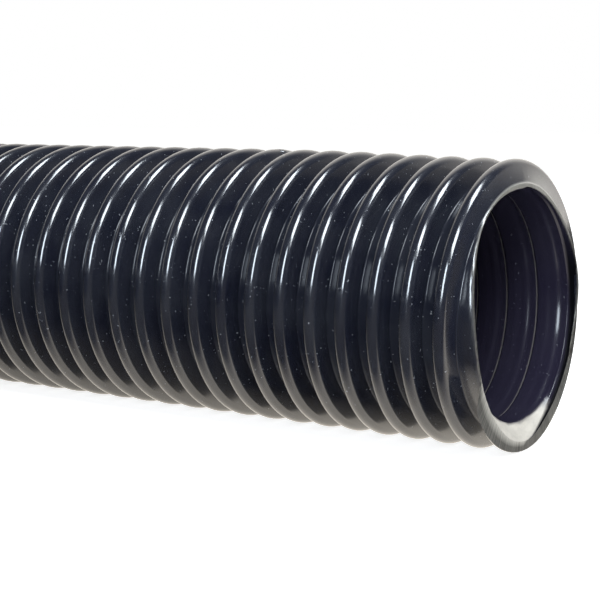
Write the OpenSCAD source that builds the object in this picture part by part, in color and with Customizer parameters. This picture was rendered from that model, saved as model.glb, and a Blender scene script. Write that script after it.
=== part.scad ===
// Spiral-wound pool vacuum hose. One end is a bare square cut and lies out straight. The rest is
// wound into a flat two-layer coil, and the far end carries a swivel cuff that lies on the coil.
// Origin: centre of the bore at the cut end. +X points out of the cut end, +Z is up.

/* [Hose wall] */
// Diameter of the hose's bore
bore_d = 38.1; // [32:0.1:52]
// Thickness of the wall in the groove between two ribs
web_t = 1.15; // [0.8:0.05:1.6]
// Height of the rib over the groove
rib_h = 3.7; // [3:0.1:4.5]
// Distance from one turn of the rib to the next
rib_pitch = 5.65; // [4.5:0.05:8]
// Width of the groove between two turns of the rib
groove_w = 0.45; // [0.42:0.01:1]
// Angle about the bore, from straight up, where the rib's crest runs out of the cut end
crest_exit_angle = 172; // [0:1:359]

/* [Lay of the hose] */
// Length of the ribbed stretch that lies out straight
straight_len = 245; // [170:5:400]
// Radius of the outermost loop where the straight stretch joins it
coil_r = 340; // [320:5:420]
// Loops of the lower layer, wound inwards
turns_in = 3; // [2.5:0.5:3]
// Loops of the upper layer, wound outwards again
turns_out = 1.5; // [1:0.5:1.5]
// Space between neighbouring loops
turn_gap = 0.6; // [0.5:0.1:2]
// Length of the straight stretch that carries the cuff
tail_len = 60; // [50:1:90]

/* [Cuff collar] */
// Length of the sleeve that goes over the ribs
collar_len = 40; // [25:1:48]
// Wall of the sleeve
collar_wall = 2.3; // [1.5:0.1:3]
// Space between the sleeve and the crests of the ribs
collar_gap = 0.3; // [0.2:0.1:0.6]
// Thickness of the flange that closes the end of the hose
flange_t = 4; // [3:0.5:6]
// Length of the neck that the cuff turns on
neck_len = 24; // [22:0.5:30]
// Diameter of the neck's bore
neck_bore_d = 36; // [32:0.1:37]
// Wall of the neck
neck_wall = 4.65; // [4.2:0.05:5.2]

/* [Swivel cuff] */
// Wall of the cuff outside the recess for the retaining ring
cuff_wall = 1.7; // [1.2:0.1:4]
// Diameter of the socket that takes the vacuum head
socket_d = 38.4; // [36:0.1:40]
// Depth of the socket
socket_len = 50; // [30:1:70]
// Number of grip ribs round the cuff
grip_count = 16; // [8:2:24]
// Radius of one grip rib
grip_r = 1.6; // [1:0.1:2]

/* [Seal and retaining ring] */
// Cord thickness of the seal ring
seal_d = 2; // [1.6:0.1:2.2]
// Thickness of the retaining ring
snap_t = 1.6; // [1.2:0.1:2]
// How far the retaining ring stands out of the neck
snap_proud = 1.4; // [1:0.1:1.6]

/* [Clearances] */
// Radial clearance of the cuff on the neck
running_gap = 0.06; // [0.02:0.01:0.09]
// Clearance along the axis between pieces that turn past each other
end_gap = 0.4; // [0.3:0.1:1]

/* [Hidden] */
$fn = 96;

// Hose wall
bore_r = bore_d / 2;
groove_r = bore_r + web_t;
crest_r = groove_r + rib_h;
hose_od = 2 * crest_r;
rib_w = rib_pitch - groove_w;
rib_steps = 12;
least_sliver = 0.5;

// Cuff collar, along the tail's own axis from the start of the tail
collar_bore_r = crest_r + collar_gap;
collar_r = collar_bore_r + collar_wall;
collar_start = tail_len - collar_len;
neck_start = tail_len + flange_t;
neck_end = neck_start + neck_len;
neck_bore_r = neck_bore_d / 2;
neck_r = neck_bore_r + neck_wall;
flange_chamfer = 1;

// Seal and snap ring on the neck
seal_margin = 8.4;
seal_at = neck_start + seal_margin;
seal_side_gap = 0.2;
seal_groove_w = seal_d + 2 * seal_side_gap;
seal_sunk = 0.3;
seal_r = neck_r - seal_sunk - seal_d / 2;
seat_gap = 0.05;
seal_groove_r = seal_r - seal_d / 2 - seat_gap;
snap_margin = 4;
snap_at = neck_end - snap_margin;
snap_seat = 1.2;
snap_groove_r = neck_r - snap_seat;
snap_groove_w = snap_t + 2 * seat_gap;
snap_r = neck_r + snap_proud;

// Swivel cuff
cuff_start = neck_start + end_gap;
cuff_step = neck_end + end_gap;
cuff_end = cuff_step + socket_len;
cuff_bore_r = neck_r + running_gap;
recess_gap = 0.3;
recess_r = snap_r + recess_gap;
cuff_body_r = recess_r + cuff_wall;
grip_stands = 0.8;
cuff_r = cuff_body_r + grip_stands * grip_r;
cuff_chamfer = 2.5;
mouth_chamfer = 1.2;
grip_margin = 5;

// Lay of the hose
loop_steps = 24;
spacing = hose_od + turn_gap;
run_in = hose_od;
turns = turns_in + turns_out;
centre = [-(straight_len + run_in), -coil_r];
climb_turns = 0.5;
cuff_rise_turns = 0.4;
tail_z = crest_r + cuff_r + turn_gap;
end_angle = 90 + 360 * turns;
heading = end_angle + 90;
loop_end = loop_point(turns);
tail_start = loop_end + run_in * [cos(heading), sin(heading), 0];

// Colours
hose_black = "#17181c";
strip_black = "#1d1e22";
cuff_grey = "#26282c";
ring_steel = "silver";
seal_black = "#0c0c0d";

function smooth(t) = let(c = min(max(t, 0), 1)) c * c * (3 - 2 * c);

// Radius, height and place of the loops' centre line after u turns
function loop_r(u) = coil_r - spacing * (u < turns_in ? u : 2 * turns_in - u);
function loop_z(u) = spacing * smooth((u - turns_in) / climb_turns + 0.5)
    + (tail_z - spacing) * smooth(1 - (turns - u) / cuff_rise_turns);
function loop_point(u) = let(a = 90 + 360 * u)
    [centre.x + loop_r(u) * cos(a), centre.y + loop_r(u) * sin(a), loop_z(u)];

// Six-sided section of the hose with a flat below, in the plane at angle a
section = crest_r * [[1, 0], [0.5, 1], [-0.5, 1], [-1, 0], [-0.5, -1], [0.5, -1]];
function ring(c, a) = [for (p = section) c + [p.x * cos(a), p.x * sin(a), p.y]];

// Faces of a tube through rings of m points, closed at both ends
function tube_faces(rings, m) = concat(
    [for (i = [1 : m - 2]) [0, i, i + 1]],
    [for (i = [1 : m - 2]) let(last = (rings - 1) * m) [last, last + i + 1, last + i]],
    [for (k = [0 : rings - 2], i = [0 : m - 1])
        let(a = k * m + i, b = k * m + (i + 1) % m) [a, a + m, b]],
    [for (k = [0 : rings - 2], i = [0 : m - 1])
        let(a = k * m + i, b = k * m + (i + 1) % m) [b, a + m, b + m]]
);

// Height of the rib at x, where its crest is at c
function rib_r(x, c) = groove_r
    + (crest_r - groove_r) * sqrt(max(0, 1 - pow(2 * (x - c) / rib_w, 2)));

// Section of the rib with its crest at c, cut off square by the two ends of the straight stretch
function rib_section(c) = let(
    low = max(c - rib_w / 2, -straight_len),
    high = min(c + rib_w / 2, 0),
    third = (high - low) / 3,
    left = max(low, min(c - rib_w / 3, low + third)),
    right = min(high, max(c + rib_w / 3, high - third)),
    mid = (left + right) / 2
) [
    [low, groove_r], [left, rib_r(left, c)], [mid, rib_r(mid, c)],
    [right, rib_r(right, c)], [high, groove_r]
];

// The rib winds left-handed: going round from straight up towards -Y, its crest backs away from the end
function crest_x(turn) = rib_pitch * (crest_exit_angle / 360 - turn);
first_turn = crest_exit_angle / 360 - (rib_w / 2 - least_sliver) / rib_pitch;
last_turn = crest_exit_angle / 360 + (straight_len + rib_w / 2 - least_sliver) / rib_pitch;
rib_rings = ceil((last_turn - first_turn) * rib_steps);
function rib_turn(k) = first_turn + (last_turn - first_turn) * k / rib_rings;
function on_hose(p, turn) = [p.x, -p.y * sin(360 * turn), p.y * cos(360 * turn)];

// Least distance between two outlines, measured on points along their sides
function along(outline, n = 4) = [for (i = [0 : len(outline) - 1], k = [0 : n - 1])
    outline[i] + (outline[(i + 1) % len(outline)] - outline[i]) * k / n];
function gap(a, b) = min([for (p = a, q = b) norm(p - q)]);

// Least gap between loops: each section against the ones that lie a whole number of turns before it
function coil_gap() = min([
    for (k = [loop_steps : turns * loop_steps], back = [1 : floor(k / loop_steps)])
        let(u = k / loop_steps, w = u - back)
        gap(along(section), [for (p = along(section))
            p + [loop_r(w) - loop_r(u), loop_z(w) - loop_z(u)]])
]);

// Length of the loops' centre line, in short chords
function sum(v, i = 0, total = 0) = i == len(v) ? total : sum(v, i + 1, total + v[i]);
function loops_len(n = 600) = sum([for (k = [1 : n])
    norm(loop_point(turns * k / n) - loop_point(turns * (k - 1) / n))]);

// Puts a piece that is drawn along +Z on the tail's axis
module on_tail() {
    translate(tail_start)
        rotate([0, 90, heading])
            children();
}

// Ring turned about Z, from radius a to radius b, between two heights
module ring_of(a, b, from, to) {
    rotate_extrude()
        polygon([[a, from], [b, from], [b, to], [a, to]]);
}

// Smooth inner strip, fused into one wall with a true bore
module inner_wall() {
    color(strip_black)
        rotate([0, -90, 0])
            ring_of(bore_r, groove_r, 0, straight_len);
}

// Rib wound round the straight stretch as one strip
module rib_strip() {
    sections = [for (k = [0 : rib_rings]) rib_section(crest_x(rib_turn(k)))];
    points = [for (k = [0 : rib_rings], p = sections[k]) on_hose(p, rib_turn(k))];
    echo(rib_turns = last_turn - first_turn, least_gap_of_rib = rib_pitch - rib_w);
    color(hose_black)
        polyhedron(points, tube_faces(rib_rings + 1, 5), convexity = 10);
}

// Loops of the hose, with a straight run of one diameter at each end
module hose_coil() {
    n = round(turns * loop_steps);
    rings = concat(
        [ring([-straight_len, 0, 0], 90)],
        [for (k = [0 : n]) ring(loop_point(turns * k / n), 90 + 360 * turns * k / n)],
        [ring(tail_start, end_angle)]
    );
    points = [for (r = rings, p = r) p];
    echo(loops = turns, least_gap_of_coil = coil_gap());
    echo(hose_length = straight_len + 2 * run_in + loops_len() + tail_len);
    color(hose_black)
        polyhedron(points, tube_faces(len(rings), len(section)), convexity = 10);
}

// End of the hose inside the collar, with its ribs
module tail_wall() {
    ribs = floor(tail_len / rib_pitch);
    margin = (tail_len - ribs * rib_pitch) / 2;
    profile = concat(
        [[bore_r, tail_len], [bore_r, 0], [groove_r, 0]],
        [for (k = [0 : ribs - 1], p = [
            [groove_r, groove_w / 2], [crest_r, rib_pitch * 0.35],
            [crest_r, rib_pitch * 0.65], [groove_r, rib_pitch - groove_w / 2]
        ]) [p.x, margin + k * rib_pitch + p.y]],
        [[groove_r, tail_len]]
    );
    color(hose_black)
        on_tail()
            rotate_extrude()
                polygon(profile);
}

// Collar that is screwed and glued over the ribs, with the neck that the cuff turns on
module cuff_collar() {
    color(cuff_grey)
        on_tail()
            rotate_extrude()
                polygon([
                    [collar_bore_r, collar_start], [collar_r - flange_chamfer, collar_start],
                    [collar_r, collar_start + flange_chamfer], [collar_r, neck_start - flange_chamfer],
                    [collar_r - flange_chamfer, neck_start], [neck_r, neck_start],
                    [neck_r, seal_at - seal_groove_w / 2], [seal_groove_r, seal_at - seal_groove_w / 2],
                    [seal_groove_r, seal_at + seal_groove_w / 2], [neck_r, seal_at + seal_groove_w / 2],
                    [neck_r, snap_at - snap_groove_w / 2], [snap_groove_r, snap_at - snap_groove_w / 2],
                    [snap_groove_r, snap_at + snap_groove_w / 2], [neck_r, snap_at + snap_groove_w / 2],
                    [neck_r, neck_end], [neck_bore_r, neck_end], [neck_bore_r, tail_len],
                    [collar_bore_r, tail_len]
                ]);
}

// Seal ring in the groove of the neck
module seal_ring() {
    color(seal_black)
        on_tail()
            translate([0, 0, seal_at])
                rotate_extrude()
                    translate([seal_r, 0])
                        circle(d = seal_d);
}

// Split steel ring that holds the cuff on the neck
module retaining_ring() {
    split_w = 4;
    color(ring_steel)
        on_tail()
            difference() {
                ring_of(snap_groove_r + seat_gap, snap_r, snap_at - snap_t / 2, snap_at + snap_t / 2);
                translate([0, -split_w / 2, snap_at - snap_t])
                    cube([2 * snap_r, split_w, 2 * snap_t]);
            }
}

// Cuff that turns freely on the neck and takes the vacuum head in its socket
module swivel_cuff() {
    recess_low = snap_at - snap_t / 2 - recess_gap;
    recess_high = snap_at + snap_t / 2 + recess_gap;
    color(cuff_grey)
        on_tail()
            union() {
                rotate_extrude()
                    polygon([
                        [cuff_bore_r, cuff_start], [cuff_body_r - cuff_chamfer, cuff_start],
                        [cuff_body_r, cuff_start + cuff_chamfer], [cuff_body_r, cuff_end - cuff_chamfer],
                        [cuff_body_r - cuff_chamfer, cuff_end], [socket_d / 2 + mouth_chamfer, cuff_end],
                        [socket_d / 2, cuff_end - mouth_chamfer], [socket_d / 2, cuff_step],
                        [cuff_bore_r, cuff_step], [cuff_bore_r, recess_high],
                        [recess_r, recess_high], [recess_r, recess_low], [cuff_bore_r, recess_low]
                    ]);
                for (k = [0 : grip_count - 1])
                    rotate([0, 0, 360 * k / grip_count])
                        translate([cuff_r - grip_r, 0, cuff_start + grip_margin])
                            cylinder(r = grip_r, h = cuff_end - cuff_start - 2 * grip_margin, $fn = 32);
            }
}

inner_wall();
rib_strip();
hose_coil();
tail_wall();
cuff_collar();
seal_ring();
retaining_ring();
swivel_cuff();
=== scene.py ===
from math import cos, pi, radians, sin, tau

import bmesh
import bpy
import numpy as np
from mathutils import Matrix, Quaternion, Vector


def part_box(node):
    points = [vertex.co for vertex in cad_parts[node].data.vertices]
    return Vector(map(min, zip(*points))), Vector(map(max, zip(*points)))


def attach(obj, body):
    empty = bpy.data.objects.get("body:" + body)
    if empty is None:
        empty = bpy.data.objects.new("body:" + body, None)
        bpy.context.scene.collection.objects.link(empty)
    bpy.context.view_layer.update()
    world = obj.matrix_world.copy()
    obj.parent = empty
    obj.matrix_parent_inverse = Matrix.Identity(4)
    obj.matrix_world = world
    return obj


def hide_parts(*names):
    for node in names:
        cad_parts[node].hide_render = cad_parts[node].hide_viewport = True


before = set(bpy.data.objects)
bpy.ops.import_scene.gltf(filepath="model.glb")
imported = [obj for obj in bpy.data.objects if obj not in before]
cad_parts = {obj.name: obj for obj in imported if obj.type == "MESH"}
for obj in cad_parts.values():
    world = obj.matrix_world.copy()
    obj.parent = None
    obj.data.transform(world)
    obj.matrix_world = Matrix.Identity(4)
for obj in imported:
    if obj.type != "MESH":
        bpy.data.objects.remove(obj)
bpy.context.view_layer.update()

# Sizes of the hose, in metres. Its axis is X at the cut end, and the coil goes on from there
MM = 0.001
STRAIGHT = -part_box("rib_strip")[0].x
CREST_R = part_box("rib_strip")[1].y
GROOVE_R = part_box("inner_wall")[1].y
BORE_R = 19.05 * MM
HOSE_OD = 2 * CREST_R
PITCH = 5.65 * MM
GROOVE_W = 0.45 * MM
RIB_PHASE = 172 / 360

# Route of the loops, the same points as in the construction
COIL_R = 340 * MM
TURNS_IN = 3
TURNS_OUT = 1.5
TURN_GAP = 0.6 * MM
TAIL = 60 * MM
SPACING = HOSE_OD + TURN_GAP
RUN_IN = HOSE_OD
TURNS = TURNS_IN + TURNS_OUT
CLIMB_TURNS = 0.5
CUFF_RISE_TURNS = 0.4
TAIL_Z = (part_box("swivel_cuff")[0].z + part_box("swivel_cuff")[1].z) / 2
COIL_X = -(STRAIGHT + RUN_IN)
COIL_Y = -COIL_R

# The camera looks along the fitted line of sight
CAMERA_AT = (86.57 * MM, -207.37 * MM, 28.93 * MM)
CAMERA_AZIMUTH = radians(57.977)
CAMERA_DOWN = radians(7.343)
CAMERA_ROLL = radians(0.42)
SENSOR = 36.0
LENS = 83.62

FLOOR_Z = -CREST_R
FLOOR_GLOW = 0.82
# Distances from the axis where the painted glow of the floor in reflections starts to fade and has faded
REFLECTED_GLOW_BAND = (0.8 * CREST_R, 1.35 * CREST_R)
AMBIENT = 0.24
BACK_SIDE = (-0.526, 0.841, -0.127)
MERGE = 0.02 * MM
ON_CUT = 0.001 * MM

# One rib seen along the strip: a slightly crowned crest, round shoulders, steep flanks, round foot
CREST_HALF = 0.3 * MM
CREST_LEAN = radians(12)
SHOULDER_R = 1.1 * MM
FLANK_LEAN = radians(82)
FOOT_R = 0.3 * MM
RIB_FOOT = 1.8 * MM

# The strip is wound in turns, counted from straight above the axis
FIRST_TURN = -1
FINE_TURNS = 10
FINE_BORE_TURNS = 6
COIL_START = 304 * MM
COIL_PIECES = 6
END_AROUND = 80
COIL_AROUND = 30
ON_THE_HOSE = ["cuff_collar", "seal_ring", "retaining_ring", "swivel_cuff"]

# The lining is wound too, and its seam lies this far in front of a crest
SEAM_AHEAD = 0.77 * MM
SEAM_EDGE = 0.3 * MM
BORE_STEPS = ((1.1, 0.20), (2.9, 0.10))
BORE_STEP_OVER = 1.0 * MM

# How the end was cut by hand: degrees round from the top towards -Y, and millimetres
CUT_LINE = ((0, -1.15), (12, -1.6), (35, -2.15), (50, -1.95), (65, -1.25), (80, -0.6), (95, -0.05),
            (110, 0.1), (125, -0.1), (145, 0.1), (165, 0.5), (180, 0.75), (200, 0.7), (225, 0.45),
            (245, 0.35), (260, 0.6), (275, 0.9), (292, 0.6), (309, -0.1), (323, -0.7), (345, -1.2))
FLARE = ((112, 0), (120, 0.3), (135, 0.7), (150, 1.7), (165, 2.7), (180, 2.9), (188, 2.1), (195, 1.1),
         (203, 0.5), (210, 0.2), (218, 0))
HOLLOW = ((120, 0.4), (180, 0.4), (195, 1.0), (210, 1.5), (240, 1.6), (270, 1.3), (300, 0.8), (345, 0.4))
FLARE_DEPTH = ((118, 0.9), (150, 1.4), (180, 1.7), (190, 1.4), (200, 1.0), (212, 0.7), (240, 0.7))
CUT_SLANT = ((0, 0.1), (20, 0.35), (40, 0.5), (60, 0.3), (80, 0.1), (110, 0), (300, 0), (340, 0.1))
BLUNT_EDGE = 0.25 * MM
WORN_EDGE = 0.5 * MM
PALE_RIM = ((0, 0.8), (25, 0.8), (60, 0.6), (85, 0.25), (110, 0), (185, 0), (205, 0.6), (250, 0.6),
            (315, 0.7), (340, 0.8))
PALE_RIM_OVER = 0.35 * MM

# The last groove is pulled wider on the near side
WIDENED = ((50, 0), (75, 0.8), (95, 1.15), (112, 1.1), (126, 0.4), (142, 0))
WIDENED_OVER = 1.2 * MM

# The last ribs sit a little flat
FLATTENED = 0.016
FLATTENED_OVER = 45 * MM


# ---------------------------------------------------------------- camera and route

def add_camera():
    data = bpy.data.cameras.new("camera")
    data.sensor_width = SENSOR
    data.lens = LENS
    data.clip_start = 0.01
    camera = bpy.data.objects.new("camera", data)
    bpy.context.scene.collection.objects.link(camera)
    sight = Vector((-cos(CAMERA_AZIMUTH) * cos(CAMERA_DOWN),
                    sin(CAMERA_AZIMUTH) * cos(CAMERA_DOWN),
                    -sin(CAMERA_DOWN)))
    camera.location = CAMERA_AT
    level = sight.to_track_quat("-Z", "Y")
    camera.rotation_euler = (level @ Quaternion((0, 0, 1), CAMERA_ROLL)).to_euler()
    bpy.context.scene.camera = camera


def smooth(t):
    t = np.clip(t, 0, 1)
    return t * t * (3 - 2 * t)


def loop_points(u):
    """Centre line of the loops after u turns, as rows of x, y, z."""
    radius = COIL_R - SPACING * np.where(u < TURNS_IN, u, 2 * TURNS_IN - u)
    height = (SPACING * smooth((u - TURNS_IN) / CLIMB_TURNS + 0.5)
              + (TAIL_Z - SPACING) * smooth(1 - (TURNS - u) / CUFF_RISE_TURNS))
    angle = pi / 2 + tau * u
    return np.stack([COIL_X + radius * np.cos(angle), COIL_Y + radius * np.sin(angle), height], 1)


def hose_route(steps_per_turn=240):
    """Points of the whole centre line and the length from the cut end to each of them."""
    loops = loop_points(np.linspace(0, TURNS, int(TURNS * steps_per_turn) + 1))
    run_out = loops[-1] + np.outer(np.linspace(0, 1, 12)[1:], [RUN_IN + TAIL, 0, 0])
    straight = np.outer(np.linspace(0, 1, 60), [COIL_X, 0, 0])[:-1]
    points = np.concatenate([straight, loops, run_out])
    steps = np.linalg.norm(np.diff(points, axis=0), axis=1)
    return points, np.concatenate([[0], np.cumsum(steps)])


ROUTE, ROUTE_AT = hose_route()
LENGTH = ROUTE_AT[-1]


def on_route(at):
    """Centre, forward direction and sideways direction of the route at each length."""
    step = 2 * MM
    centre, ahead, behind = (
        np.stack([np.interp(a, ROUTE_AT, ROUTE[:, k]) for k in range(3)], 1)
        for a in (at, np.clip(at + step, 0, LENGTH), np.clip(at - step, 0, LENGTH)))
    forward = ahead - behind
    forward /= np.linalg.norm(forward, axis=1)[:, None]
    side = np.cross(forward, [0, 0, 1])
    side /= np.linalg.norm(side, axis=1)[:, None]
    return centre, forward, side


# ---------------------------------------------------------------- the wound strip

def round_the_hose(points, degrees):
    """A value round the hose between points of degrees and millimetres, smoothed, in metres."""
    grid = np.arange(0, 360, 1.0)
    values = np.interp(grid, *np.array(points, float).T, period=360)
    width = 13
    padded = np.concatenate([values[-width:], values, values[:width]])
    window = np.hanning(2 * width + 1)
    even = np.convolve(padded, window / window.sum(), "valid")
    return np.interp(degrees, grid, even, period=360) * MM


def bend(points, radius, lean_to, steps, lean_from):
    """Adds an arc to a falling line; the radius is negative where the line turns up again."""
    lean = np.linspace(lean_from, lean_to, steps + 1)
    x, r = points[-1]
    return points + [(float(x + radius * (sin(t) - sin(lean_from))),
                      float(r - radius * (cos(lean_from) - cos(t)))) for t in lean[1:]]


def rib_profile(bends, floor_steps=1):
    """Outside of one pitch, from groove to groove over the crest, as pairs of place and radius."""
    half = bend([(0, CREST_R)], CREST_HALF / sin(CREST_LEAN), CREST_LEAN, 2, 0)
    half = bend(half, SHOULDER_R, FLANK_LEAN, bends, CREST_LEAN)
    x, r = half[-1]
    fall = r - GROOVE_R - FOOT_R * (1 - cos(FLANK_LEAN))
    half = half + [(x + fall / np.tan(FLANK_LEAN), r - fall)]
    half = bend(half, -FOOT_R, 0, max(bends // 2, 1), FLANK_LEAN)
    half = half + [(float(x), GROOVE_R) for x in np.linspace(half[-1][0], PITCH / 2, floor_steps + 1)[1:]]
    return [(-x, r) for x, r in half[:0:-1]] + half


def bore_profile(points):
    """Inside of one pitch from seam to seam, closest together next to the seams."""
    t = np.linspace(-1, 1, points)
    spread = PITCH / 2 * (0.35 * t + 0.65 * np.sin(t * pi / 2))
    return [(float(a), BORE_R) for a in SEAM_AHEAD - PITCH / 2 - spread]


def wind(profile, first_turn, turns, around):
    """Mesh of a strip wound round X: one turn is spun, and an array repeats it pitch by pitch."""
    bm = bmesh.new()
    start = PITCH * (RIB_PHASE - first_turn)
    verts = [bm.verts.new((start + x, 0, r)) for x, r in reversed(profile)]
    edges = [bm.edges.new(pair) for pair in zip(verts, verts[1:])]
    bmesh.ops.spin(bm, geom=verts + edges, cent=(0, 0, 0), axis=(1, 0, 0),
                   dvec=(-PITCH / around, 0, 0), angle=tau, steps=around, use_merge=False)
    bmesh.ops.remove_doubles(bm, verts=bm.verts, dist=MERGE)
    for face in bm.faces:
        face.smooth = True
    turn = to_object(bm, "turn")
    array = turn.modifiers.new("turns", "ARRAY")
    array.use_relative_offset = False
    array.use_constant_offset = True
    array.constant_offset_displace = (-PITCH, 0, 0)
    array.count = turns
    array.use_merge_vertices = True
    array.merge_threshold = MERGE
    bpy.context.view_layer.update()
    mesh = bpy.data.meshes.new_from_object(turn.evaluated_get(bpy.context.evaluated_depsgraph_get()))
    bpy.data.objects.remove(turn)
    return mesh


def points_of(mesh):
    co = np.empty(len(mesh.vertices) * 3, np.float32)
    mesh.vertices.foreach_get("co", co)
    return co.reshape(-1, 3).astype(float)


def move_points(mesh, co):
    mesh.vertices.foreach_set("co", co.astype(np.float32).ravel())
    mesh.update()


def degrees_round(co):
    """Degrees round the axis from straight above, towards -Y."""
    return np.degrees(np.arctan2(-co[:, 1], co[:, 2])) % 360


def cut_line(co):
    """Where the hand-cut end lies for each point, going by its direction and distance from the axis."""
    round_at = degrees_round(co)
    out = np.hypot(co[:, 1], co[:, 2]) - BORE_R
    return round_the_hose(CUT_LINE, round_at) + round_the_hose(CUT_SLANT, round_at) / MM * out


def shear_to_cut(mesh, sign):
    """Straightens the hand-cut end into a flat plane at X = 0, or puts its line back."""
    co = points_of(mesh)
    co[:, 0] += sign * cut_line(co)
    move_points(mesh, co)


def shape_skin(mesh):
    """Pulls the last groove wider and rounds the cut edge of the thin wall."""
    co = points_of(mesh)
    round_at = degrees_round(co)
    foot = PITCH * (RIB_PHASE - 1 - round_at / 360) + RIB_FOOT
    co[:, 0] += round_the_hose(WIDENED, round_at) * smooth((co[:, 0] - foot) / WIDENED_OVER)
    to_cut = cut_line(co) - co[:, 0]
    r = np.hypot(co[:, 1], co[:, 2])
    low = smooth((GROOVE_R + 1 * MM - r) / MM)
    wear_and_reflection = 0.5 * WORN_EDGE * np.clip(1 - to_cut / WORN_EDGE, 0, 1.5) ** 2 * low
    co[:, 1:] *= (1 - wear_and_reflection / r)[:, None]
    move_points(mesh, co)
    rim = round_the_hose(PALE_RIM, round_at) / MM
    keep_value(mesh, "pale_and_painted_reflection", rim * np.clip(1 - (cut_line(co) - co[:, 0]) / PALE_RIM_OVER, 0, 1))
    keep_value(mesh, "shaded", low * (co[:, 0] < foot))


def shape_bore(mesh):
    """Cuts the seam into the bore, with the flared lip and the split beside it at the mouth, and marks a painted
    reflection on the lip and painted shade in the split.
    """
    co = points_of(mesh)
    round_at = degrees_round(co)
    # Place along the strip: whole numbers are seams, and seam 1 is the last one that is whole
    seam = (PITCH * RIB_PHASE + SEAM_AHEAD - PITCH * round_at / 360 - co[:, 0]) / PITCH + 1
    behind = (seam % 1) * PITCH
    depth = sum(size * MM * (1 - smooth((behind - at * MM) / BORE_STEP_OVER)) for at, size in BORE_STEPS)
    deepest = sum(size for at, size in BORE_STEPS) * MM
    depth += deepest * np.clip(1 + (behind - PITCH) / SEAM_EDGE, 0, 1)
    to_cut = cut_line(co) - co[:, 0]
    to_seam = (seam - 1) * PITCH
    ahead = to_seam < -0.02 * MM
    back = np.where(ahead, to_cut, np.minimum(to_cut, np.where(to_seam < 0, 0, to_seam)))
    reach = round_the_hose(FLARE_DEPTH, round_at)
    height = round_the_hose(FLARE, round_at)
    flare = height * np.clip(1 - back / reach, 0, 1.2)
    blunt = np.clip(BLUNT_EDGE - to_cut, 0, 2 * BLUNT_EDGE) * (height < 0.3 * MM)
    split = round_the_hose(HOLLOW, round_at) + height
    inside = BORE_R + np.where(ahead, split, depth + np.maximum(flare, blunt))
    r = np.hypot(co[:, 1], co[:, 2])
    co[:, 1:] *= (inside / r)[:, None]
    move_points(mesh, co)
    # The lip is marked pale as a painted reflection of the floor; the cut rim and the seam lines are marked paler too.
    lip = smooth(np.where(ahead, 0, flare) / (0.25 * MM)) * smooth((211 - round_at) / 12)
    rim = round_the_hose(PALE_RIM, round_at) / MM * np.clip(1 - to_cut / PALE_RIM_OVER, 0, 1)
    line = 0.3 * (1 - smooth(np.minimum(behind, PITCH - behind) / (0.22 * MM))) * (to_seam > 1 * MM)
    keep_value(mesh, "pale_and_painted_reflection", np.maximum(np.maximum(lip, rim), line))
    # The open lap is marked shaded for painted shade, near black in the lining.
    keep_value(mesh, "shaded", ahead * smooth((round_at - 185) / 6) * smooth((310 - round_at) / 30))


def keep_value(mesh, name, values):
    """Stores a number per point for the materials."""
    layer = mesh.attributes.new(name, "FLOAT", "POINT")
    layer.data.foreach_set("value", np.broadcast_to(values, len(mesh.vertices)).astype(np.float32))


def joined(*meshes):
    """One bmesh of several meshes, which are used up."""
    bm = bmesh.new()
    for mesh in meshes:
        bm.from_mesh(mesh)
        bpy.data.meshes.remove(mesh)
    return bm


def cut_across(bm, x, keep_behind):
    """Cuts the tube square at x and returns the edges of the cut."""
    geom = list(bm.verts) + list(bm.edges) + list(bm.faces)
    bmesh.ops.bisect_plane(bm, geom=geom, plane_co=(x, 0, 0), plane_no=(1, 0, 0),
                           clear_outer=keep_behind, clear_inner=not keep_behind)
    return [e for e in bm.edges if e.is_boundary and all(abs(v.co.x - x) < ON_CUT for v in e.verts)]


def lay_on_route(mesh):
    """Bends a straight tube round X so that it follows the route."""
    co = points_of(mesh)
    at = np.clip(-co[:, 0], 0, LENGTH)
    flat = 1 - FLATTENED * (1 - smooth(at / FLATTENED_OVER))
    centre, forward, side = on_route(at)
    up = np.cross(side, forward)
    height = co[:, 2] * flat - CREST_R * (1 - flat)
    placed = centre - forward * (at + co[:, 0])[:, None] + side * co[:, 1:2] + up * height[:, None]
    move_points(mesh, placed)


def to_object(bm, name, *materials):
    mesh = bpy.data.meshes.new(name)
    bm.to_mesh(mesh)
    bm.free()
    for material in materials:
        mesh.materials.append(material)
    piece = bpy.data.objects.new(name, mesh)
    bpy.context.scene.collection.objects.link(piece)
    return piece


# ---------------------------------------------------------------- materials

def material(name):
    made = bpy.data.materials.new(name)
    made.use_nodes = True
    shader = made.node_tree.nodes["Principled BSDF"]
    return made, made.node_tree, shader


def node(tree, kind, inputs=(), **settings):
    """Adds a node; an input is a value or the output that feeds it."""
    made = tree.nodes.new("ShaderNode" + kind)
    for name, value in settings.items():
        setattr(made, name, value)
    for socket, value in dict(inputs).items():
        if isinstance(value, bpy.types.NodeSocket):
            tree.links.new(value, made.inputs[socket])
        else:
            made.inputs[socket].default_value = value
    return made


def noise(tree, scale, detail=2.0, roughness=0.5, stretch=(1, 1, 1)):
    """Noise in the piece's own coordinates, with scale counted per metre."""
    place = node(tree, "TexCoord")
    turned = node(tree, "Mapping", {"Vector": place.outputs["Object"], "Scale": stretch})
    made = node(tree, "TexNoise", {"Vector": turned.outputs["Vector"], "Scale": scale,
                                   "Detail": detail, "Roughness": roughness})
    return made.outputs["Fac"]


def ramp(tree, fac, low, high, dark, light):
    """Goes from one value to another while fac goes from low to high."""
    made = node(tree, "MapRange", {"Value": fac, "From Min": low, "From Max": high,
                                   "To Min": dark, "To Max": light})
    return made.outputs["Result"]


def blend(tree, fac, first, second):
    made = node(tree, "Mix", {0: fac}, data_type="RGBA")
    for socket, value in ((6, first), (7, second)):
        if isinstance(value, bpy.types.NodeSocket):
            tree.links.new(value, made.inputs[socket])
        else:
            made.inputs[socket].default_value = (*value, 1)
    return made.outputs[2]


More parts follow.
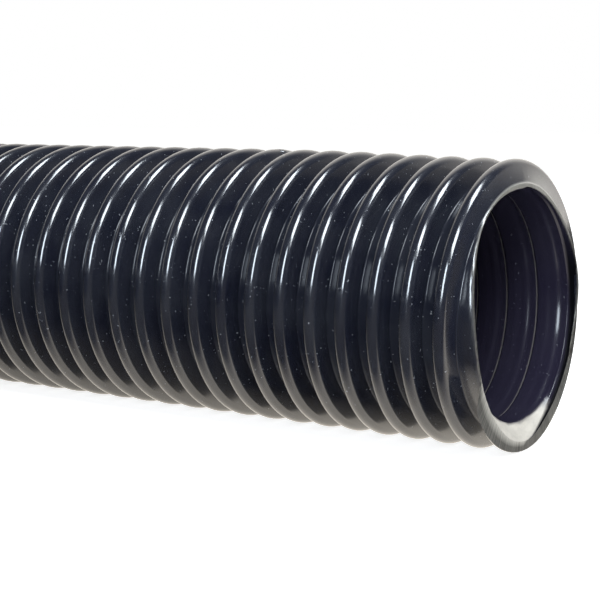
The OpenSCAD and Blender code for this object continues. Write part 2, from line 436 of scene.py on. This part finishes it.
def bumps(tree, shader, height, strength, distance):
    made = node(tree, "Bump", {"Height": height, "Strength": strength, "Distance": distance})
    tree.links.new(made.outputs["Normal"], shader.inputs["Normal"])


def dusty(tree, clean, dust, amount, specks=0.5):
    """Plastic colour with soft smudges of dust and small pale specks."""
    smudge = ramp(tree, noise(tree, 110, 5, 0.6), 0.32, 0.85, 0, amount)
    speck = ramp(tree, noise(tree, 2300, 1, 0.4), 0.745, 0.79, 0, specks)
    coat = blend(tree, smudge, clean, dust)
    return blend(tree, speck, coat, (0.42, 0.43, 0.45))


def rib_plastic():
    made, tree, shader = material("rib_plastic")
    colour = dusty(tree, (0.008, 0.009, 0.016), (0.060, 0.063, 0.070), 0.3)
    pale_and_painted_reflection = node(tree, "Attribute", attribute_name="pale_and_painted_reflection").outputs["Fac"]
    tree.links.new(blend(tree, pale_and_painted_reflection, colour, (0.36, 0.34, 0.30)), shader.inputs["Base Color"])
    shaded = node(tree, "Attribute", attribute_name="shaded").outputs["Fac"]
    tree.links.new(ramp(tree, shaded, 0, 1, 1.0, 0.35), shader.inputs["Specular IOR Level"])
    tree.links.new(ramp(tree, shaded, 0, 1, 0.8, 0.1), shader.inputs["Coat Weight"])
    shader.inputs["Coat Roughness"].default_value = 0.12
    tree.links.new(ramp(tree, noise(tree, 260, 4, 0.6), 0.3, 0.7, 0.13, 0.22), shader.inputs["Roughness"])
    bumps(tree, shader, noise(tree, 420, 3, 0.5, (0.5, 1, 1)), 0.05, 0.2 * MM)
    return made


def lining_plastic():
    """The lining, dark and smooth; painted pale, streaked and rougher on the lip that the knife bent out, as a painted
    reflection of the floor, and near black in the open lap as painted shade.
    """
    made, tree, shader = material("lining_plastic")
    plain = dusty(tree, (0.013, 0.011, 0.022), (0.045, 0.042, 0.056), 0.2, 0.2)
    wear_and_reflection = ramp(tree, noise(tree, 500, 4, 0.7, (1, 0.3, 0.3)), 0.3, 0.7, 0, 1)
    pale_and_painted_reflection = node(tree, "Attribute", attribute_name="pale_and_painted_reflection").outputs["Fac"]
    # Painted reflection: the pale, streaked tone of the lip stands in for the floor mirrored in it.
    pale = blend(tree, wear_and_reflection, (0.38, 0.345, 0.30), (0.58, 0.53, 0.46))
    shaded = node(tree, "Attribute", attribute_name="shaded").outputs["Fac"]
    open_bore = blend(tree, pale_and_painted_reflection, plain, pale)
    # Painted shade: near black, with almost no specular, where the open lap is marked shaded.
    tree.links.new(blend(tree, shaded, open_bore, (0.003, 0.003, 0.004)), shader.inputs["Base Color"])
    tree.links.new(ramp(tree, pale_and_painted_reflection, 0, 1, 0.19, 0.6), shader.inputs["Roughness"])
    tree.links.new(ramp(tree, shaded, 0, 1, 0.7, 0.03), shader.inputs["Specular IOR Level"])
    bumps(tree, shader, noise(tree, 250, 3, 0.6), 0.06, 0.2 * MM)
    return made


def around_axis(tree, across, along):
    """Coordinates that turn with the direction from the axis, for marks that run outwards."""
    place = node(tree, "SeparateXYZ", {"Vector": node(tree, "TexCoord").outputs["Object"]})
    angle = node(tree, "Math", {0: place.outputs["Y"], 1: place.outputs["Z"]}, operation="ARCTAN2")
    turns = node(tree, "Math", {0: angle.outputs[0], 1: across}, operation="MULTIPLY")
    out = node(tree, "Math", {0: place.outputs["Z"], 1: along}, operation="MULTIPLY")
    return node(tree, "CombineXYZ", {"X": turns.outputs[0], "Y": out.outputs[0]}).outputs["Vector"]


def sawn_plastic():
    """The cut face, with fine marks that the blade left across the wall."""
    made, tree, shader = material("sawn_plastic")
    place = around_axis(tree, 55, 60)
    marks = node(tree, "TexNoise", {"Vector": place, "Scale": 1.0, "Detail": 4.0, "Roughness": 0.7})
    tone = ramp(tree, marks.outputs["Fac"], 0.35, 0.68, 0, 1)
    clean = blend(tree, tone, (0.024, 0.023, 0.022), (0.120, 0.113, 0.100))
    pale = blend(tree, tone, (0.26, 0.24, 0.21), (0.42, 0.39, 0.34))
    # Paler where the cut rim is marked; next to the lip the mark also brings the painted reflection onto the cut face.
    pale_and_painted_reflection = node(tree, "Attribute", attribute_name="pale_and_painted_reflection").outputs["Fac"]
    tree.links.new(blend(tree, ramp(tree, pale_and_painted_reflection, 0.45, 0.95, 0, 1), clean, pale), shader.inputs["Base Color"])
    shader.inputs["Roughness"].default_value = 0.5
    shader.inputs["Specular IOR Level"].default_value = 0.35
    bumps(tree, shader, marks.outputs["Fac"], 0.5, 0.15 * MM)
    return made


def cuff_plastic():
    made, tree, shader = material("cuff_plastic_look")
    colour = dusty(tree, (0.022, 0.023, 0.028), (0.06, 0.06, 0.065), 0.35)
    tree.links.new(colour, shader.inputs["Base Color"])
    tree.links.new(ramp(tree, noise(tree, 300, 4, 0.6), 0.3, 0.7, 0.34, 0.5), shader.inputs["Roughness"])
    bumps(tree, shader, noise(tree, 1800, 2, 0.5), 0.1, 0.1 * MM)
    return made


def seal_rubber():
    made, tree, shader = material("seal_rubber_look")
    wear_and_reflection = ramp(tree, noise(tree, 500, 4, 0.6), 0.35, 0.7, 0, 1)
    tree.links.new(blend(tree, wear_and_reflection, (0.014, 0.014, 0.014), (0.035, 0.034, 0.033)), shader.inputs["Base Color"])
    shader.inputs["Roughness"].default_value = 0.65
    bumps(tree, shader, noise(tree, 1500, 3, 0.6), 0.15, 0.1 * MM)
    return made


def ring_steel():
    made, tree, shader = material("ring_steel_look")
    tone = ramp(tree, noise(tree, 400, 4, 0.6), 0.3, 0.7, 0, 1)
    tree.links.new(blend(tree, tone, (0.48, 0.48, 0.47), (0.60, 0.60, 0.59)), shader.inputs["Base Color"])
    shader.inputs["Metallic"].default_value = 1.0
    tree.links.new(ramp(tree, noise(tree, 900, 3, 0.6, (0.2, 1, 1)), 0.3, 0.7, 0.25, 0.42), shader.inputs["Roughness"])
    return made


def dress_cuff():
    looks = {"cuff_collar": cuff_plastic(), "seal_ring": seal_rubber(), "retaining_ring": ring_steel()}
    looks["swivel_cuff"] = looks["cuff_collar"]
    for name, look in looks.items():
        for slot in bpy.data.objects[name].material_slots:
            slot.material = look


# ---------------------------------------------------------------- the hose

def wall_across(bm, edges, slot):
    """Closes the wall between the two rims of a cut."""
    faces = bmesh.ops.bridge_loops(bm, edges=edges)["faces"]
    for face in faces:
        face.material_index = slot
        face.smooth = False


def in_turns(fine, fine_turns, plain, length, around):
    """A wound surface that is fine for the first turns and plain after them."""
    turns = int(length / PITCH) + 3 - fine_turns
    bm = joined(wind(fine, FIRST_TURN, fine_turns, around),
                wind(plain, FIRST_TURN + fine_turns, turns, around))
    bmesh.ops.remove_doubles(bm, verts=bm.verts, dist=MERGE)
    open_edges = [e for e in bm.edges if e.is_boundary and max(abs(v.co.y) for v in e.verts) < MERGE]
    bmesh.ops.holes_fill(bm, edges=open_edges, sides=0)
    mesh = bpy.data.meshes.new("wound")
    bm.to_mesh(mesh)
    bm.free()
    return mesh


def hose_end(rib, lining, sawn):
    """The straight stretch: ribs outside, seams inside and the hand-cut mouth."""
    skin = in_turns(rib_profile(6, 4), FINE_TURNS, rib_profile(3), COIL_START, END_AROUND)
    inner = in_turns(bore_profile(25), FINE_BORE_TURNS, bore_profile(3), COIL_START, END_AROUND)
    shape_skin(skin)
    shape_bore(inner)
    skin_faces = len(skin.polygons)
    for mesh in (skin, inner):
        shear_to_cut(mesh, -1)
    bm = joined(skin, inner)
    for number, face in enumerate(bm.faces):
        face.material_index = 0 if number < skin_faces else 1
    wall_across(bm, cut_across(bm, 0, True), 2)
    mesh = bpy.data.meshes.new("sheared")
    bm.to_mesh(mesh)
    bm.free()
    shear_to_cut(mesh, 1)
    bm = joined(mesh)
    wall_across(bm, cut_across(bm, -COIL_START, False), 1)
    piece = to_object(bm, "hose_end", rib, lining, sawn)
    lay_on_route(piece.data)
    return piece


def coil_piece(number, start, end, rib):
    first = int(start / PITCH) + FIRST_TURN
    bm = joined(wind(rib_profile(2), first, int((end - start) / PITCH) + 4, COIL_AROUND))
    for x, keep_behind in ((-start, True), (-end, False)):
        bmesh.ops.holes_fill(bm, edges=cut_across(bm, x, keep_behind), sides=0)
    piece = to_object(bm, f"hose_coil_{number}", rib)
    lay_on_route(piece.data)
    return piece


def declare(piece, start, end, **facts):
    at = np.linspace(start, end, int((end - start) / (5 * MM)) + 2)
    centre = on_route(at)[0]
    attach(piece, "hose")


def add_hose():
    rib, lining = rib_plastic(), lining_plastic()
    end = hose_end(rib, lining, sawn_plastic())
    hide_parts("inner_wall", "rib_strip")
    declare(end, 0, COIL_START, far_end="object", lay="loose")
    stops = np.linspace(COIL_START, LENGTH, COIL_PIECES + 1)
    for k in range(COIL_PIECES):
        piece = coil_piece(k + 1, stops[k], stops[k + 1], rib)
        last = k == COIL_PIECES - 1
        if k == 0:
            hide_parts("hose_coil")
        if last:
            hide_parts("tail_wall")
        declare(piece, stops[k], stops[k + 1], lay="coiled",
                far_end="fitting" if last else "object", with_pieces=ON_THE_HOSE if last else [])


# ---------------------------------------------------------------- floor, backdrop and light

def white_ground():
    """A white floor that glows to the camera just enough to clip, so that only shadow shows on it; to reflections it
    glows warm in a band along the hose, a painted glow.
    """
    made, tree, shader = material("white_ground")
    fleck = ramp(tree, noise(tree, 3, 2), 0.3, 0.7, 0, 1)
    tree.links.new(blend(tree, fleck, (0.80, 0.79, 0.77), (0.82, 0.81, 0.79)), shader.inputs["Base Color"])
    shader.inputs["Roughness"].default_value = 0.9
    path = node(tree, "LightPath")
    glow = node(tree, "Emission", {"Color": (1, 1, 1, 1), "Strength": FLOOR_GLOW})
    both = node(tree, "AddShader", {0: shader.outputs["BSDF"], 1: glow.outputs["Emission"]})
    direct = node(tree, "Math", {0: path.outputs["Is Camera Ray"], 1: path.outputs["Is Transmission Ray"]},
                  operation="MAXIMUM")
    seen = node(tree, "MixShader", {0: direct.outputs[0], 1: shader.outputs["BSDF"],
                                    2: both.outputs["Shader"]})
    # Painted glow: glossy rays see the floor glowing warm along the hose, fading out sideways, for the lower ribs to
    # mirror.
    place = node(tree, "SeparateXYZ", {"Vector": node(tree, "TexCoord").outputs["Object"]})
    away = node(tree, "Math", {0: place.outputs["Y"]}, operation="ABSOLUTE")
    level = ramp(tree, away.outputs[0], *REFLECTED_GLOW_BAND, 1, 0.08)
    reflected_glow = node(tree, "Emission", {"Color": (1.0, 0.93, 0.82, 1), "Strength": level})
    mix = node(tree, "MixShader", {0: path.outputs["Is Glossy Ray"], 1: seen.outputs["Shader"],
                                   2: reflected_glow.outputs["Emission"]})
    tree.links.new(mix.outputs["Shader"], tree.nodes["Material Output"].inputs["Surface"])
    return made


def add_floor():
    bm = bmesh.new()
    bmesh.ops.create_grid(bm, x_segments=1, y_segments=1, size=6)
    bmesh.ops.translate(bm, verts=bm.verts, vec=(0, 0, FLOOR_Z))
    floor = to_object(bm, "floor", white_ground())


def add_world():
    """White to the camera; in reflections pale behind the hose and dark behind the camera."""
    world = bpy.data.worlds.new("backdrop")
    bpy.context.scene.world = world
    world.use_nodes = True
    tree = world.node_tree
    facing = node(tree, "VectorMath", {0: node(tree, "TexCoord").outputs["Generated"], 1: BACK_SIDE},
                  operation="DOT_PRODUCT")
    behind = ramp(tree, facing.outputs["Value"], 0.26, 0.62, 0, 1)
    seen = blend(tree, behind, (0.050, 0.054, 0.066), (1.0, 0.96, 0.90))
    mirrored = node(tree, "Background", {"Color": seen, "Strength": 1.0})
    soft = node(tree, "Background", {"Color": (0.95, 0.97, 1.0, 1), "Strength": AMBIENT})
    white = node(tree, "Background", {"Color": (1, 1, 1, 1), "Strength": 1.0})
    path = node(tree, "LightPath")
    unseen = node(tree, "MixShader", {0: path.outputs["Is Glossy Ray"], 1: soft.outputs[0],
                                      2: mirrored.outputs[0]})
    direct = node(tree, "Math", {0: path.outputs["Is Camera Ray"], 1: path.outputs["Is Transmission Ray"]},
                  operation="MAXIMUM")
    mix = node(tree, "MixShader", {0: direct.outputs[0], 1: unseen.outputs[0], 2: white.outputs[0]})
    tree.links.new(mix.outputs["Shader"], tree.nodes["World Output"].inputs["Surface"])


def softbox(name, towards, distance, width, depth, radiance, colour=(1, 1, 1)):
    """A rectangular lamp aimed at the mouth, with its width along the hose."""
    data = bpy.data.lights.new(name, "AREA")
    data.shape = "RECTANGLE"
    data.size = width
    data.size_y = depth
    data.energy = radiance * width * depth * pi
    data.color = colour
    light = bpy.data.objects.new(name, data)
    bpy.context.scene.collection.objects.link(light)
    light.location = Vector(towards).normalized() * distance
    away = light.location.normalized()
    across = (Vector((1, 0, 0)) - away * away.x).normalized()
    light.rotation_euler = Matrix((across, away.cross(across), away)).transposed().to_euler()


def add_lights():
    softbox("overhead", (0.38, 0.10, 0.92), 0.7, 0.42, 0.22, 13, (0.87, 0.94, 1.0))
    softbox("front", (0.52, -0.50, 0.69), 0.7, 0.42, 0.22, 13, (0.87, 0.94, 1.0))
    softbox("low_front", (0.20, -0.90, 0.33), 0.8, 0.26, 0.34, 12, (0.80, 0.90, 1.0))


add_camera()
add_hose()
dress_cuff()
add_floor()
add_world()
add_lights()
bpy.context.scene.view_settings.view_transform = "Standard"
